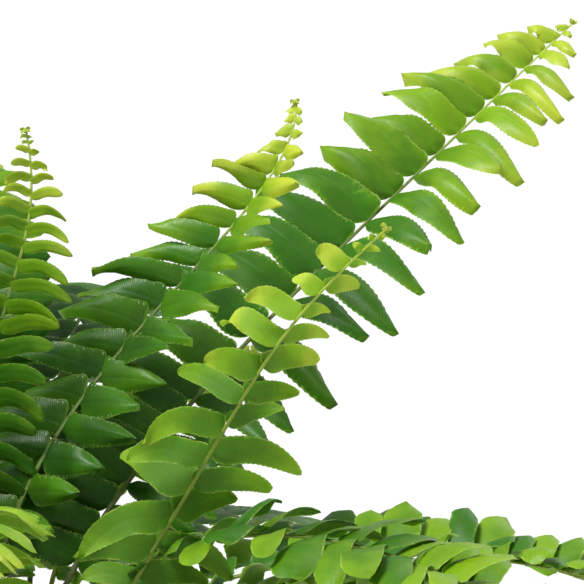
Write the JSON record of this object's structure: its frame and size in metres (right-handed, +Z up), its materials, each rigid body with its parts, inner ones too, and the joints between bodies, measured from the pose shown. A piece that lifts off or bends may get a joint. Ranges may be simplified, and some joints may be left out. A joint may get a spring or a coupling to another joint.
{
  "type": "potted fern",
  "caption": "Boston fern with long arching fronds of paired leaflets, growing in potting mix in a plain round clay pot.",
  "frame": {"origin": "middle of the pot's underside, on the surface that it stands on", "axes": "+Z up, +X to the right as the plant is pictured, +Y away from the viewer"},
  "size_m": [0.6434, 0.6388, 0.3978],
  "materials": {
    "clay": "matte",
    "mix": "matte",
    "leaf_green": "satin",
    "leaf_dark": "satin",
    "leaf_young": "satin"
  },
  "bodies": {
    "root": {"pot": "clay", "potting_mix": "mix", "frond_main_long": "leaf_green", "frond_dark_inner": "leaf_dark", "frond_young_front": "leaf_young", "frond_upright_left": "leaf_green", "frond_young_inner": "leaf_young", "frond_upright_back": "leaf_green", "frond_upright_side": "leaf_green", "frond_upright_far": "leaf_green", "frond_arching_01": "leaf_dark", "frond_arching_02": "leaf_dark", "frond_arching_03": "leaf_dark", "frond_arching_04": "leaf_dark", "frond_arching_05": "leaf_young", "frond_arching_06": "leaf_green", "frond_low_01": "leaf_green", "frond_low_02": "leaf_green", "frond_low_03": "leaf_green", "frond_low_04": "leaf_dark", "frond_low_05": "leaf_green", "frond_low_06": "leaf_dark", "frond_low_07": "leaf_dark", "frond_low_08": "leaf_dark", "frond_low_09": "leaf_green", "frond_low_10": "leaf_dark", "frond_low_11": "leaf_dark", "frond_low_12": "leaf_dark"}
  },
  "joints": []
}
